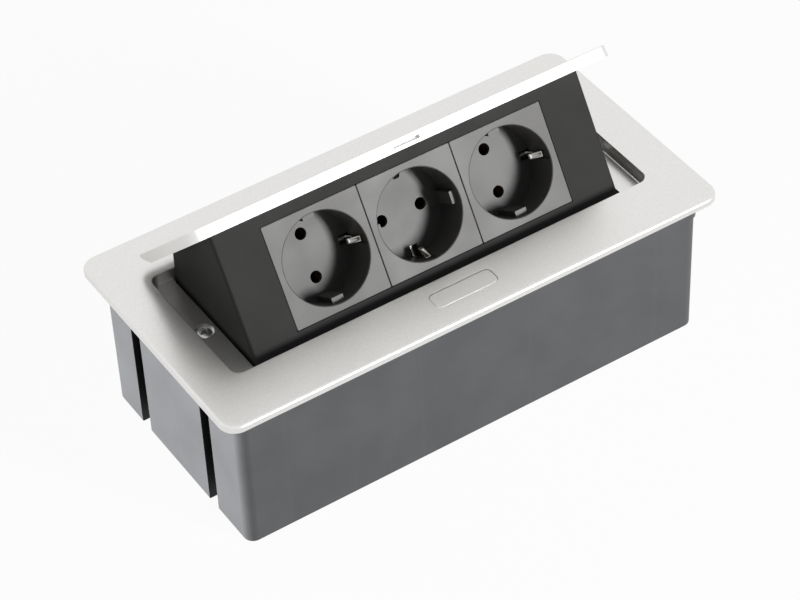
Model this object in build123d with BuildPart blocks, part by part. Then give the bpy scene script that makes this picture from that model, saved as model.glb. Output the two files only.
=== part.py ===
from build123d import *
import os
from math import cos, radians, sin, tan

# Pop up desk socket: a cast frame with a tub under it, and a lid with three
# sockets behind it that swings up out of the frame on two pins.
# Millimetres, +X along the lid, +Y to the rear (hinge side), +Z up.
# The origin is the middle of the tub's underside.
# The module is drawn in its closed place and swung open by its own angle.

# Whole object
overall_depth = 74.0
frame_length = 240.0
frame_width = 120.0
frame_thickness = 3.2
frame_corner = 7.5
frame_edge_round = 1.2
overrun = 1.0

# Recess that takes the lid, with a ledge at each end
frame_end = 19.0
recess_width = 68.4
recess_depth = 5.8
recess_corner = 4.2
recess_edge_round = 0.4
recess_base_round = 1.2
ledge_width = 11.0
ledge_thickness = 3.0
skirt_wall = 2.8

# Screws that hold the frame on the tub
frame_screw_diameter = 3.9
frame_screw_length = 16.0
frame_screw_head = 6.6
frame_screw_head_height = 1.9
frame_screw_sink = 8.4
frame_screw_hole = 4.4
thread_clearance = 0.02
screw_play = 0.1
screw_end_gap = 0.4
cross_share = 0.58
cross_width_share = 0.15
cross_depth = 0.9

# Lid
lid_gap = 0.6
lid_thickness = 5.0
lid_corner = 4.0
lid_edge_round = 0.4
lid_rear_land = 0.5
lid_bevel = 12.4
lid_slot_length = 12.5
lid_slot_height = 1.4
lid_slot_rise = 1.5
lid_slot_depth = 2.2

# Hinge
hinge_y = 45.6
hinge_drop = 9.1
open_angle = 44.5
stop_gap = 0.3
hinge_pin_diameter = 4.0
hinge_pin_head = 6.4
hinge_pin_head_height = 1.2
hinge_pin_chamfer = 0.4
hinge_running = 0.05
hinge_seat = 0.02
eye_radius = 4.5
eye_length = 4.5
arm_drop = 9.6
arm_heel_reach = 13.0
arm_heel_drop = 17.3
cheek_root = 12.0

# Socket face and the tray behind it
face_y = -16.3
face_drop = 32.0
face_lean = 11.9
module_end_gap = 1.2
module_edge_round = 1.2
face_wall = 2.2
face_foot = 8.0
tray_depth = 45.5
tray_wall = 2.0
cheek_wall = 2.5
cover_wall = 2.0
fit_gap = 0.15

# Inserts: three modules side by side
module_pitch = 45.0
insert_gap = 0.2
insert_corner = 0.6
insert_edge_round = 0.3
insert_skirt = 42.6
insert_skirt_wall = 1.3
insert_skirt_depth = 10.0
seat_ring_lip = 0.9
seat_ring_depth = 2.0
seat_ring_wall = 3.0
lug_width = 8.0
lug_reach = 0.6
lug_depth = 2.2

# Earthed socket well
well_diameter = 38.6
well_depth = 17.5
well_wall = 1.6
well_floor = 2.0
well_edge_round = 0.5
pin_pitch = 19.0
pin_hole = 5.2
rib_width = 5.4
rib_reach = 2.1
rib_start = 3.5

# Earth clips, one strip bent up at both ends of a bar
clip_width = 3.0
clip_thickness = 0.6
clip_top = 1.2
clip_top_radius = 19.6
clip_touch = 6.9
clip_touch_radius = 15.2
clip_foot = 18.0
clip_foot_radius = 18.5
clip_pocket = 4.2
clip_pocket_inner = 14.6
clip_pocket_outer = 20.3
clip_pocket_start = 1.0
earth_channel = 1.1
tail_gap = 0.3

# Contact carrier behind each well
base_plate = 40.4
base_plate_corner = 1.0
base_plate_depth = 2.0
base_body = 32.0
base_depth = 20.0
base_corner = 1.5
base_floor = 1.6
base_screw_place = 17.8
base_screw_diameter = 2.2
base_screw_head = 4.0
base_screw_head_height = 1.4
base_screw_length = 9.0
base_boss = 4.6
contact_pocket_width = 8.4
contact_pocket_length = 6.4
contact_strip = 0.5
contact_width = 5.0
contact_grip = 2.35
contact_mouth = 3.3
contact_mouth_depth = 2.6
contact_bridge = 2.6
contact_start = 1.2
wire_hole = 2.6
wire_pitch = 4.0

# Wiring inside the module
wire_diameter = 2.4
wire_bend = 2.0
wire_clearance = 0.2
wire_seat = 0.05
earth_rail_width = 5.0
earth_rail_thickness = 0.5
earth_rail_overhang = 20.0
rail_gap = 0.1
cable_hole = 9.0
cable_inset = 12.8

# Screws of the lid and of the rear cover
lid_screw_inset = 14.8
lid_screw_front = 9.0
lid_screw_rear = 11.0
lid_screw_diameter = 3.0
lid_screw_head = 5.4
lid_screw_head_height = 1.8
lid_screw_bite = 3.4
cover_screw_inset = 5.2
cover_screw_top = 9.5
cover_screw_foot = 25.7
cover_screw_diameter = 2.6
cover_screw_head = 4.8
cover_screw_head_height = 1.5
cover_screw_length = 10.0
cover_boss = 6.0

# Tub
frame_overhang = 7.75
housing_width = 107.4
housing_corner = 4.5
housing_draft = 0.2
housing_foot_round = 0.6
housing_wall = 2.2
collar_standout = 1.0
collar_height = 9.0
partition_gap = 1.6
partition_wall = 2.0
partition_clear = 0.3
slot_width = 7.2
slot_depth = 9.0
slot_wall = 1.8
slot_spread = 27.4
slot_shift = 1.6
slot_top_drop = 12.2
screw_post = 8.4
screw_post_length = 22.0
stiffener_place = 26.7
stiffener_width = 1.6
stiffener_depth = 2.5
stiffener_drop = 22.0
pivot_lug_radius = 5.2
pivot_lug_inset = 16.8
pivot_lug_wall = 2.5
pivot_gusset_drop = 24.0

# Cable bush in the rear wall
bush_rise = 17.0
bush_bore = 8.6
bush_body = 13.0
bush_flange = 17.0
bush_flange_depth = 2.6
bush_flange_round = 0.8
bush_lock = 15.4
bush_lock_depth = 2.0
bush_clearance = 0.1

# Torsion springs on the hinge pins
spring_wire = 1.1
spring_wall = 1.4
spring_play = 0.5
spring_side_gap = 1.6
spring_leg_reach = 10.6
spring_leg_cross = 5.5
spring_leg_gap = 0.1
spring_leg_inset = 0.8

# Push button in the front bar
button_length = 30.0
button_width = 9.0
button_corner = 2.5
button_y = -45.0
button_gap = 0.15
button_edge_round = 0.3
button_travel = 2.0
button_seat_gap = 0.2
button_flange = 1.2
button_flange_lip = 0.8
wedge_width = 5.0
wedge_front = 2.2
wedge_height = 4.2
wedge_land = 1.0
wedge_play = 0.05

# Latch bolt under the button
bolt_nose_width = 12.0
bolt_nose_height = 1.1
bolt_nose_ramp = 0.8
bolt_nose_play = 0.15
bolt_engage = 1.0
bolt_web_wall = 1.6
bolt_web_gap = 2.4
bolt_web_drop = 11.0
bolt_plate_width = 13.0
bolt_plate_gap = 0.3
bolt_plate_wall = 1.5
bolt_plate_reach = 8.8
bolt_window = 6.0
bolt_window_gap = 0.3
bolt_ear_span = 28.0
bolt_ear_wall = 1.8
bolt_ear_gap = 0.4
bolt_notch = 14.0
bolt_roof_gap = 0.35

# Latch guide, latch springs and their screws
guide_inner = 32.6
guide_wall = 1.5
guide_floor_drop = 11.4
guide_front_gap = 0.7
guide_top_gap = 0.2
guide_rear_gap = 0.4
guide_ear = 8.0
guide_rail_spread = 7.2
guide_rail_width = 2.6
guide_rail_gap = 0.1
guide_boss = 6.4
guide_boss_height = 3.0
latch_screw_diameter = 2.4
latch_screw_head = 4.6
latch_screw_head_height = 1.6
latch_screw_length = 5.4
latch_spring_x = 11.0
latch_spring_drop = 9.0
latch_spring_outer = 4.0
latch_spring_wire = 0.5

# Places that follow from the sizes above
frame_top = overall_depth
rim_under = frame_top - frame_thickness
recess_floor = frame_top - recess_depth
skirt_under = recess_floor - ledge_thickness
recess_length = frame_length - 2 * frame_end
opening_length = recess_length - 2 * ledge_width
half_recess = recess_width / 2
housing_length = frame_length - 2 * frame_overhang
module_length = opening_length - 2 * module_end_gap
half_module = module_length / 2
cover_screw_x = half_module - cover_screw_inset
lid_screw_x = half_module - lid_screw_inset
cable_x = half_module - cable_inset
pivot_lug_place = half_module - pivot_lug_inset
cheek_inner = half_module - cheek_wall
hinge_z = frame_top - hinge_drop
pin_radius = hinge_pin_diameter / 2
lid_length = recess_length - 2 * lid_gap
lid_width = recess_width - 2 * lid_gap
half_lid = lid_width / 2
lid_under = frame_top - lid_thickness
insert_size = module_pitch - insert_gap
strip_length = 3 * module_pitch
well_radius = well_diameter / 2
well_back = well_depth + well_floor
base_back = well_back + base_depth
cover_front = tray_depth - cover_wall
face_bottom = -(module_pitch / 2 + face_foot)
partition_x = half_module + partition_gap
partition_outer = partition_x + partition_wall
partition_top = skirt_under - partition_clear
inner_wall_y = housing_width / 2 - housing_wall
ledge_x = (recess_length - ledge_width) / 2
open_turn = radians(open_angle)
lean = radians(face_lean)

# Rotation that carries the module from closed to open about the hinge
swing = Location((0, hinge_y, hinge_z), (-open_angle, 0, 0)) * Location((0, -hinge_y, -hinge_z))


def opened(plane):
    """A plane of the closed module, swung open."""
    return Plane(swing * plane.location)


def opened_point(y, z):
    """A point of the closed module's side view, swung open."""
    dy = y - hinge_y
    dz = z - hinge_z
    return (
        hinge_y + dy * cos(open_turn) + dz * sin(open_turn),
        hinge_z - dy * sin(open_turn) + dz * cos(open_turn),
    )


def at_face(rise, depth):
    """Side view point at a rise along the socket face and a depth behind it."""
    return (
        face_y - rise * sin(lean) + depth * cos(lean),
        frame_top - face_drop + rise * cos(lean) + depth * sin(lean),
    )


def rise_under_lid(depth, gap=0):
    """Rise along the socket face that lies a gap under the lid."""
    return (face_drop - lid_thickness - gap - depth * sin(lean)) / cos(lean)


def under_lid(depth, gap=0):
    """Side view point a depth behind the face and a gap under the lid."""
    return at_face(rise_under_lid(depth, gap), depth)


def keep(builder, name):
    """Label a finished piece and write it."""
    builder.part.label = name
    export_step(builder.part, f"parts/{name}.step")


def screws(seats, head, head_height, shank, length):
    """Cross head screws, each on a plane at its seat that faces outward."""
    with BuildPart() as made:
        for seat in seats:
            with BuildSketch(seat):
                Circle(head / 2)
            extrude(amount=head_height)
            with BuildSketch(seat):
                Circle(shank / 2)
            extrude(amount=-length)
            with BuildSketch(seat.offset(head_height)):
                Rectangle(head * cross_share, head * cross_width_share)
                Rectangle(head * cross_width_share, head * cross_share)
            extrude(amount=-cross_depth, mode=Mode.SUBTRACT)
    return made


face = opened(
    Plane(
        origin=(0, face_y, frame_top - face_drop),
        x_dir=(1, 0, 0),
        z_dir=(0, -cos(lean), -sin(lean)),
    )
)
face_axis = Axis(face.origin, face.z_dir)
rise_axis = Axis(face.origin, face.y_dir)
side_view = opened(Plane.YZ)
lid_top = opened(Plane.XY.offset(frame_top))
lid_bottom = opened(Plane.XY.offset(lid_under))
lid_axis = Axis(lid_top.origin, lid_top.z_dir)


def before(x, rise, depth, turn=0):
    """A plane along the socket face, seen from the front."""
    return Plane(face.location * Location((x, rise, -depth), (0, 0, turn)))


def behind(x, rise, depth):
    """A plane along the socket face, seen from the rear."""
    return Plane(face.location * Location((x, rise, -depth), (180, 0, 0)))


def across(place, shift=0):
    """The plane across a socket: its x stays, its y runs into the depth."""
    return Plane(origin=place.origin, x_dir=place.x_dir, z_dir=place.y_dir).offset(shift)


os.makedirs("parts", exist_ok=True)

# Frame: rounded plate, skirt under it, lid recess and end ledges
button_rear = button_y + button_width / 2
nose_under = lid_under + lid_slot_rise + bolt_nose_play
nose_top = nose_under + bolt_nose_height
notch_length = -button_rear - half_recess + overrun
guide_boss_x = guide_inner / 2 + guide_wall + guide_ear / 2
boss_under = rim_under - guide_boss_height
with BuildPart() as frame:
    with BuildSketch(Plane.XY.offset(rim_under)):
        RectangleRounded(frame_length, frame_width, frame_corner)
    extrude(amount=frame_thickness)
    fillet(frame.faces().sort_by(Axis.Z)[-1].edges(), frame_edge_round)
    with BuildSketch(Plane.XY.offset(rim_under)):
        RectangleRounded(
            recess_length + 2 * skirt_wall,
            recess_width + 2 * skirt_wall,
            recess_corner + skirt_wall,
        )
    extrude(amount=skirt_under - rim_under)
    with BuildSketch(Plane.XY.offset(frame_top)):
        RectangleRounded(recess_length, recess_width, recess_corner)
    extrude(amount=-recess_depth, mode=Mode.SUBTRACT)
    pocket_floor = frame.faces().filter_by(Axis.Z).sort_by(Axis.Z)[1]
    fillet(pocket_floor.edges(), recess_base_round)
    with BuildSketch(Plane.XY.offset(recess_floor + recess_base_round)):
        Rectangle(opening_length, recess_width)
    extrude(amount=-ledge_thickness - recess_base_round, mode=Mode.SUBTRACT)
    mouth = frame.faces().sort_by(Axis.Z)[-1].inner_wires()[0]
    fillet(mouth.edges(), recess_edge_round)
    with BuildSketch(Plane.XY.offset(frame_top)):
        with Locations((0, button_y)):
            RectangleRounded(button_length, button_width, button_corner)
    extrude(amount=-frame_thickness, mode=Mode.SUBTRACT)
    # way for the latch bolt under the front bar and through its skirt
    with BuildSketch(Plane.XY.offset(nose_top + bolt_roof_gap)):
        with Locations((0, button_rear + notch_length / 2)):
            Rectangle(bolt_notch, notch_length)
    extrude(amount=skirt_under - nose_top - bolt_roof_gap - overrun, mode=Mode.SUBTRACT)
    # bosses for the latch guide
    with BuildSketch(Plane.XY.offset(rim_under)):
        with Locations((-guide_boss_x, button_y), (guide_boss_x, button_y)):
            Circle(guide_boss / 2)
    extrude(amount=-guide_boss_height)
    with BuildSketch(Plane.XY.offset(boss_under)):
        with Locations((-guide_boss_x, button_y), (guide_boss_x, button_y)):
            Circle(latch_screw_diameter / 2 + thread_clearance)
    extrude(amount=latch_screw_length - guide_wall + screw_end_gap, mode=Mode.SUBTRACT)
    # counterbored holes of the frame screws in the ledges
    with Locations((-ledge_x, 0, recess_floor), (ledge_x, 0, recess_floor)):
        CounterBoreHole(
            frame_screw_hole / 2,
            frame_screw_sink / 2,
            frame_screw_head_height,
            ledge_thickness,
        )
keep(frame, "frame")

# Tub: drafted box, collar, cell walls beside the module and clamp slots
slot_floor = housing_length / 2 - slot_depth
slot_top = frame_top - slot_top_drop
slot_places = (slot_shift + slot_spread, slot_shift - slot_spread)
with BuildPart() as housing:
    with BuildSketch():
        RectangleRounded(housing_length, housing_width, housing_corner)
    extrude(amount=rim_under, taper=-housing_draft)
    fillet(housing.faces().sort_by(Axis.Z)[0].edges(), housing_foot_round)
    with BuildSketch(Plane.XY.offset(rim_under)):
        RectangleRounded(
            housing_length + 2 * collar_standout,
            housing_width + 2 * collar_standout,
            housing_corner + collar_standout,
        )
    extrude(amount=-collar_height)
    with BuildSketch(Plane.XY.offset(housing_wall)):
        RectangleRounded(
            housing_length - 2 * housing_wall,
            housing_width - 2 * housing_wall,
            housing_corner - housing_wall,
        )
    extrude(amount=rim_under - housing_wall, taper=-housing_draft, mode=Mode.SUBTRACT)
    # cell walls at both ends of the module
    with BuildSketch(Plane.XY.offset(housing_wall)):
        with GridLocations(2 * partition_x + partition_wall, 0, 2, 1):
            Rectangle(partition_wall, housing_width - housing_wall)
    extrude(amount=partition_top - housing_wall)
    # posts under the frame screws
    with BuildSketch(Plane.XY.offset(skirt_under)):
        with GridLocations(2 * ledge_x, 0, 2, 1):
            Circle(screw_post / 2)
    extrude(amount=-screw_post_length)
    # sleeves of the clamp slots
    with BuildSketch(Plane.XY.offset(housing_wall)):
        for y in slot_places:
            with Locations((0, y)):
                with GridLocations(2 * (slot_floor - slot_wall) + slot_depth, 0, 2, 1):
                    Rectangle(slot_depth, slot_width + 2 * slot_wall)
    extrude(amount=slot_top + slot_wall - housing_wall)
    # stiffening ribs inside the long walls
    with BuildSketch(Plane.XY.offset(housing_wall)):
        with GridLocations(2 * stiffener_place, 2 * inner_wall_y - stiffener_depth, 2, 2):
            Rectangle(stiffener_width, stiffener_depth + housing_wall / 2)
    extrude(amount=frame_top - stiffener_drop - housing_wall)
    # lugs that carry the hinge pins, on the cell walls and inboard
    for side in (-1, 1):
        for start, wall in ((partition_x, partition_wall), (pivot_lug_place, pivot_lug_wall)):
            with BuildSketch(Plane.YZ.offset(side * (start + wall / 2))):
                with Locations((hinge_y, hinge_z)):
                    Circle(pivot_lug_radius)
                with BuildLine():
                    Polyline(
                        (hinge_y, hinge_z + pivot_lug_radius),
                        (inner_wall_y + housing_wall / 2, hinge_z + pivot_lug_radius),
                        (inner_wall_y + housing_wall / 2, frame_top - pivot_gusset_drop),
                        (hinge_y - pivot_lug_radius, hinge_z),
                        close=True,
                    )
                make_face()
            extrude(amount=wall / 2, both=True)
    with BuildSketch(Plane.YZ):
        with Locations((hinge_y, hinge_z)):
            Circle(pin_radius + hinge_seat)
    extrude(amount=partition_outer + overrun, both=True, mode=Mode.SUBTRACT)
    # clamp slots, open to the outside and downward
    with BuildSketch():
        for y in slot_places:
            with Locations((0, y)):
                with GridLocations(2 * slot_floor + slot_depth + 2 * overrun, 0, 2, 1):
                    Rectangle(slot_depth + 2 * overrun, slot_width)
    extrude(amount=slot_top, mode=Mode.SUBTRACT)
    with BuildSketch(Plane.XY.offset(skirt_under)):
        with GridLocations(2 * ledge_x, 0, 2, 1):
            Circle(frame_screw_diameter / 2 + thread_clearance)
    extrude(
        amount=ledge_thickness - frame_screw_head_height - frame_screw_length - screw_end_gap,
        mode=Mode.SUBTRACT,
    )
    # hole of the cable bush in the rear wall
    with BuildSketch(Plane.XZ.offset(-inner_wall_y + overrun)):
        with Locations((cable_x, bush_rise)):
            Circle(bush_body / 2 + bush_clearance)
    extrude(amount=-(housing_wall + 2 * overrun), mode=Mode.SUBTRACT)
keep(housing, "housing")

# Screws through the ledges into the posts
head_seat = recess_floor - frame_screw_head_height
frame_screws = screws(
    [Plane(origin=(x, 0, head_seat)) for x in (-ledge_x, ledge_x)],
    frame_screw_head,
    frame_screw_head_height,
    frame_screw_diameter,
    frame_screw_length,
)
keep(frame_screws, "frame_screws")

# Hinge pins, headed outside the cell walls, and the torsion springs on them
spring_start = pivot_lug_place + pivot_lug_wall + spring_side_gap
spring_end = half_module - eye_length - spring_side_gap
coil_radius = pin_radius + spring_play + spring_wire / 2
arm_slope = (arm_heel_drop - hinge_drop - eye_radius) / arm_heel_reach
leg_z = hinge_z - eye_radius - arm_slope * spring_leg_reach - spring_wire / 2 - spring_leg_gap
leg_x = spring_end - spring_leg_inset
for side, name in ((-1, "left"), (1, "right")):
    with BuildPart() as hinge_pin:
        with BuildSketch(Plane.YZ.offset(side * pivot_lug_place)):
            with Locations((hinge_y, hinge_z)):
                Circle(pin_radius)
        extrude(amount=side * (partition_outer - pivot_lug_place))
        chamfer(hinge_pin.edges().sort_by(Axis.X)[::side][:1], hinge_pin_chamfer)
        with BuildSketch(Plane.YZ.offset(side * partition_outer)):
            with Locations((hinge_y, hinge_z)):
                Circle(hinge_pin_head / 2)
        extrude(amount=side * hinge_pin_head_height)
    keep(hinge_pin, f"hinge_pin_{name}")
    with BuildPart() as torsion_spring:
        with BuildSketch(Plane.YZ.offset(side * spring_start)):
            with Locations((hinge_y, hinge_z)):
                Circle(coil_radius + spring_wall / 2)
                Circle(coil_radius - spring_wall / 2, mode=Mode.SUBTRACT)
        extrude(amount=side * (spring_end - spring_start))
        with BuildSketch(Plane.XZ.offset(-hinge_y)):
            with Locations((side * (spring_start + spring_leg_inset), hinge_z + coil_radius)):
                Circle(spring_wire / 2)
        extrude(amount=hinge_y - inner_wall_y)
        with BuildLine() as leg:
            FilletPolyline(
                (side * leg_x, hinge_y, hinge_z - coil_radius),
                (side * leg_x, hinge_y - spring_leg_reach, leg_z),
                (side * (leg_x + spring_leg_cross), hinge_y - spring_leg_reach, leg_z),
                radius=spring_wire,
            )
        with BuildSketch(Plane(origin=leg.line @ 0, z_dir=leg.line % 0)):
            Circle(spring_wire / 2)
        sweep()
    keep(torsion_spring, f"torsion_spring_{name}")

# Lid: bevelled under its rear edge, slotted for the latch at the front
with BuildPart() as lid:
    with BuildSketch(lid_bottom):
        RectangleRounded(lid_length, lid_width, lid_corner)
    extrude(amount=lid_thickness)
    fillet(lid.faces().sort_by(lid_axis)[-1].edges(), lid_edge_round)
    with BuildSketch(side_view):
        with BuildLine():
            Polyline(
                (half_lid, frame_top - lid_rear_land),
                (half_lid, lid_under),
                (half_lid - lid_bevel, lid_under),
                close=True,
            )
        make_face()
    extrude(amount=lid_length / 2, both=True, mode=Mode.SUBTRACT)
    with BuildSketch(opened(Plane.XZ.offset(half_lid))):
        with Locations((0, lid_under + lid_slot_rise + lid_slot_height / 2)):
            Rectangle(lid_slot_length, lid_slot_height)
    extrude(amount=-lid_slot_depth, mode=Mode.SUBTRACT)
    with BuildSketch(lid_bottom):
        for y in (-lid_screw_front, lid_screw_rear):
            with Locations((-lid_screw_x, y), (lid_screw_x, y)):
                Circle(lid_screw_diameter / 2 + thread_clearance)
    extrude(amount=lid_screw_bite + screw_end_gap, mode=Mode.SUBTRACT)
keep(lid, "lid")

# Module front: a tray that hangs under the lid, with the hinge arms on its ends
cover_screw_places = [
    (x, rise) for x in (-cover_screw_x, cover_screw_x) for rise in (cover_screw_top, -cover_screw_foot)
]
stop_line = half_recess - stop_gap
stop_y = hinge_y + (stop_line - hinge_y - (lid_under - hinge_z) * sin(open_turn)) / cos(open_turn)
with BuildPart() as module_front:
    with BuildSketch(side_view):
        with BuildLine():
            Polyline(
                under_lid(0),
                under_lid(tray_depth),
                at_face(face_bottom, tray_depth),
                at_face(face_bottom, 0),
                close=True,
            )
        make_face()
    extrude(amount=half_module, both=True)
    corners = module_front.edges().filter_by(rise_axis).sort_by(face_axis)[-2:]
    fillet(corners, module_edge_round)
    with BuildSketch(side_view):
        with BuildLine():
            Polyline(
                under_lid(face_wall, tray_wall),
                under_lid(tray_depth + overrun, tray_wall),
                at_face(face_bottom + tray_wall, tray_depth + overrun),
                at_face(face_bottom + tray_wall, face_wall),
                close=True,
            )
        make_face()
    extrude(amount=cheek_inner, both=True, mode=Mode.SUBTRACT)
    # ring that the inserts rest on and snap behind
    with BuildSketch(before(0, 0, face_wall)):
        Rectangle(
            strip_length + insert_gap + 2 * seat_ring_wall,
            module_pitch + insert_gap + 2 * seat_ring_wall,
        )
    extrude(amount=-seat_ring_depth)
    with BuildSketch(before(0, 0, face_wall)):
        Rectangle(
            strip_length + insert_gap - 2 * seat_ring_lip,
            module_pitch + insert_gap - 2 * seat_ring_lip,
        )
    extrude(amount=-seat_ring_depth, mode=Mode.SUBTRACT)
    with BuildSketch(face):
        Rectangle(strip_length + insert_gap, module_pitch + insert_gap)
    extrude(amount=-face_wall, mode=Mode.SUBTRACT)
    # bosses for the rear cover's screws
    with BuildSketch(before(0, 0, face_wall)):
        with Locations(cover_screw_places):
            Circle(cover_boss / 2)
    extrude(amount=face_wall - cover_front)
    with BuildSketch(before(0, 0, cover_front)):
        with Locations(cover_screw_places):
            Circle(cover_screw_diameter / 2 + thread_clearance)
    extrude(amount=cover_screw_length - cover_wall + screw_end_gap, mode=Mode.SUBTRACT)
    with BuildSketch(lid_bottom):
        for y in (-lid_screw_front, lid_screw_rear):
            with Locations((-lid_screw_x, y), (lid_screw_x, y)):
                Circle(lid_screw_diameter / 2 + screw_play)
    extrude(amount=-tray_wall, mode=Mode.SUBTRACT)
    # cheeks that run rearward into the hinge eyes
    for side in (-1, 1):
        with BuildSketch(Plane.YZ.offset(side * (cheek_inner + cheek_wall / 2))):
            with BuildLine():
                Polyline(
                    opened_point(*under_lid(tray_depth / 2)),
                    opened_point(stop_y, lid_under),
                    (stop_line, frame_top - arm_drop),
                    (hinge_y, frame_top - arm_drop),
                    (hinge_y, hinge_z - eye_radius),
                    (hinge_y - arm_heel_reach, frame_top - arm_heel_drop),
                    opened_point(*at_face(-cheek_root, tray_depth)),
                    opened_point(*at_face(-cheek_root, tray_depth / 2)),
                    close=True,
                )
            make_face()
            with Locations((hinge_y, hinge_z)):
                Circle(eye_radius)
        extrude(amount=cheek_wall / 2, both=True)
        with BuildSketch(Plane.YZ.offset(side * half_module)):
            with Locations((hinge_y, hinge_z)):
                Circle(eye_radius)
        extrude(amount=-side * eye_length)
    with BuildSketch(Plane.YZ):
        with Locations((hinge_y, hinge_z)):
            Circle(pin_radius + hinge_running)
    extrude(amount=half_module + overrun, both=True, mode=Mode.SUBTRACT)
keep(module_front, "module_front")

# Screws that hold the tray under the lid
flange_under = lid_under - tray_wall
lid_screws = screws(
    [
        opened(Plane(origin=(x, y, flange_under), z_dir=(0, 0, -1)))
        for x in (-lid_screw_x, lid_screw_x)
        for y in (-lid_screw_front, lid_screw_rear)
    ],
    lid_screw_head,
    lid_screw_head_height,
    lid_screw_diameter,
    lid_screw_bite + tray_wall,
)
keep(lid_screws, "lid_screws")

# Rear cover, set into the tray, and its screws
cover_top = rise_under_lid(tray_depth, tray_wall) - fit_gap
cover_bottom = face_bottom + tray_wall + fit_gap
with BuildPart() as module_rear_cover:
    with BuildSketch(before(0, 0, cover_front)):
        with Locations((0, (cover_top + cover_bottom) / 2)):
            Rectangle(2 * (cheek_inner - fit_gap), cover_top - cover_bottom)
        with Locations((cable_x, 0)):
            Circle(cable_hole / 2, mode=Mode.SUBTRACT)
        with Locations(cover_screw_places):
            Circle(cover_screw_diameter / 2 + screw_play, mode=Mode.SUBTRACT)
    extrude(amount=-cover_wall)
keep(module_rear_cover, "module_rear_cover")

cover_screws = screws(
    [behind(x, rise, tray_depth) for x, rise in cover_screw_places],
    cover_screw_head,
    cover_screw_head_height,
    cover_screw_diameter,
    cover_screw_length,
)
keep(cover_screws, "cover_screws")

# Depths of the pieces behind each well
earth_bar = well_back + earth_channel - fit_gap - clip_thickness / 2
rail_front = cover_front - rail_gap - earth_rail_thickness
contact_back = base_back - base_floor - fit_gap
wire_depth = rail_front - wire_clearance - wire_diameter / 2
wire_end = contact_back + wire_seat
screw_corners = [(base_screw_place, base_screw_place), (-base_screw_place, -base_screw_place)]


def socket_insert(place, upright):
    """Face plate of one socket with its skirt, well and snap lugs."""
    with BuildPart() as insert:
        with BuildSketch(place):
            RectangleRounded(insert_size, insert_size, insert_corner)
        extrude(amount=-face_wall)
        fillet(insert.faces().sort_by(face_axis)[-1].edges(), insert_edge_round)
        with BuildSketch(place.offset(-face_wall)):
            Rectangle(insert_skirt, insert_skirt)
            Rectangle(
                insert_skirt - 2 * insert_skirt_wall,
                insert_skirt - 2 * insert_skirt_wall,
                mode=Mode.SUBTRACT,
            )
        extrude(amount=face_wall - insert_skirt_depth)
        with BuildSketch(place.offset(-face_wall)):
            Circle(well_radius + well_wall)
            with Locations(screw_corners):
                Circle(base_boss / 2)
        extrude(amount=face_wall - well_back)
        with BuildSketch(place):
            Circle(well_radius)
        extrude(amount=-well_depth, mode=Mode.SUBTRACT)
        lip = insert.edges().filter_by(GeomType.CIRCLE).group_by(face_axis)[-1]
        fillet(lip.sort_by(SortBy.RADIUS)[-1:], well_edge_round)
        # guide ribs beside the pins
        with BuildSketch(place.offset(-rib_start)):
            with GridLocations(0, 2 * well_radius - rib_reach, 1, 2):
                Rectangle(rib_width, rib_reach + well_wall / 2)
        extrude(amount=rib_start - well_back)
        # pockets of the earth clips, and the pin holes
        with BuildSketch(place.offset(-clip_pocket_start)):
            with GridLocations(clip_pocket_inner + clip_pocket_outer, 0, 2, 1):
                Rectangle(clip_pocket_outer - clip_pocket_inner, clip_pocket)
        extrude(amount=clip_pocket_start - well_back, mode=Mode.SUBTRACT)
        with BuildSketch(place.offset(-well_depth)):
            with GridLocations(0, pin_pitch, 1, 2):
                Circle(pin_hole / 2)
        extrude(amount=-well_floor, mode=Mode.SUBTRACT)
        with BuildSketch(place.offset(-well_back)):
            with Locations(screw_corners):
                Circle(base_screw_diameter / 2 + thread_clearance)
        extrude(
            amount=base_screw_length - base_plate_depth + screw_end_gap, mode=Mode.SUBTRACT
        )
        # snap lugs above and below
        with BuildSketch(upright.offset(-(face_wall + seat_ring_depth + fit_gap))):
            with GridLocations(0, insert_skirt + lug_reach - insert_skirt_wall, 1, 2):
                Rectangle(lug_width, lug_reach + insert_skirt_wall)
        extrude(amount=-lug_depth)
    return insert


def socket_base(place):
    """Carrier of one socket's contacts, screwed behind the well."""
    with BuildPart() as base:
        with BuildSketch(place.offset(-well_back)):
            RectangleRounded(base_plate, base_plate, base_plate_corner)
        extrude(amount=-base_plate_depth)
        with BuildSketch(place.offset(-well_back)):
            RectangleRounded(base_body, base_body, base_corner)
        extrude(amount=-base_depth)
        with BuildSketch(place.offset(-well_back)):
            Rectangle(base_plate, clip_pocket)
        extrude(amount=-earth_channel, mode=Mode.SUBTRACT)
        with BuildSketch(place.offset(-well_back)):
            with GridLocations(0, pin_pitch, 1, 2):
                Rectangle(contact_pocket_width, contact_pocket_length)
        extrude(amount=base_floor - base_depth, mode=Mode.SUBTRACT)
        with BuildSketch(place.offset(-well_back)):
            with GridLocations(wire_pitch, pin_pitch, 2, 2):
                Circle(wire_hole / 2)
            Rectangle(clip_thickness + 2 * tail_gap, clip_width + 2 * tail_gap)
        extrude(amount=-base_depth, mode=Mode.SUBTRACT)
        with BuildSketch(place.offset(-well_back)):
            with Locations(screw_corners):
                Circle(base_screw_diameter / 2 + screw_play)
        extrude(amount=-base_plate_depth, mode=Mode.SUBTRACT)
    return base


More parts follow.
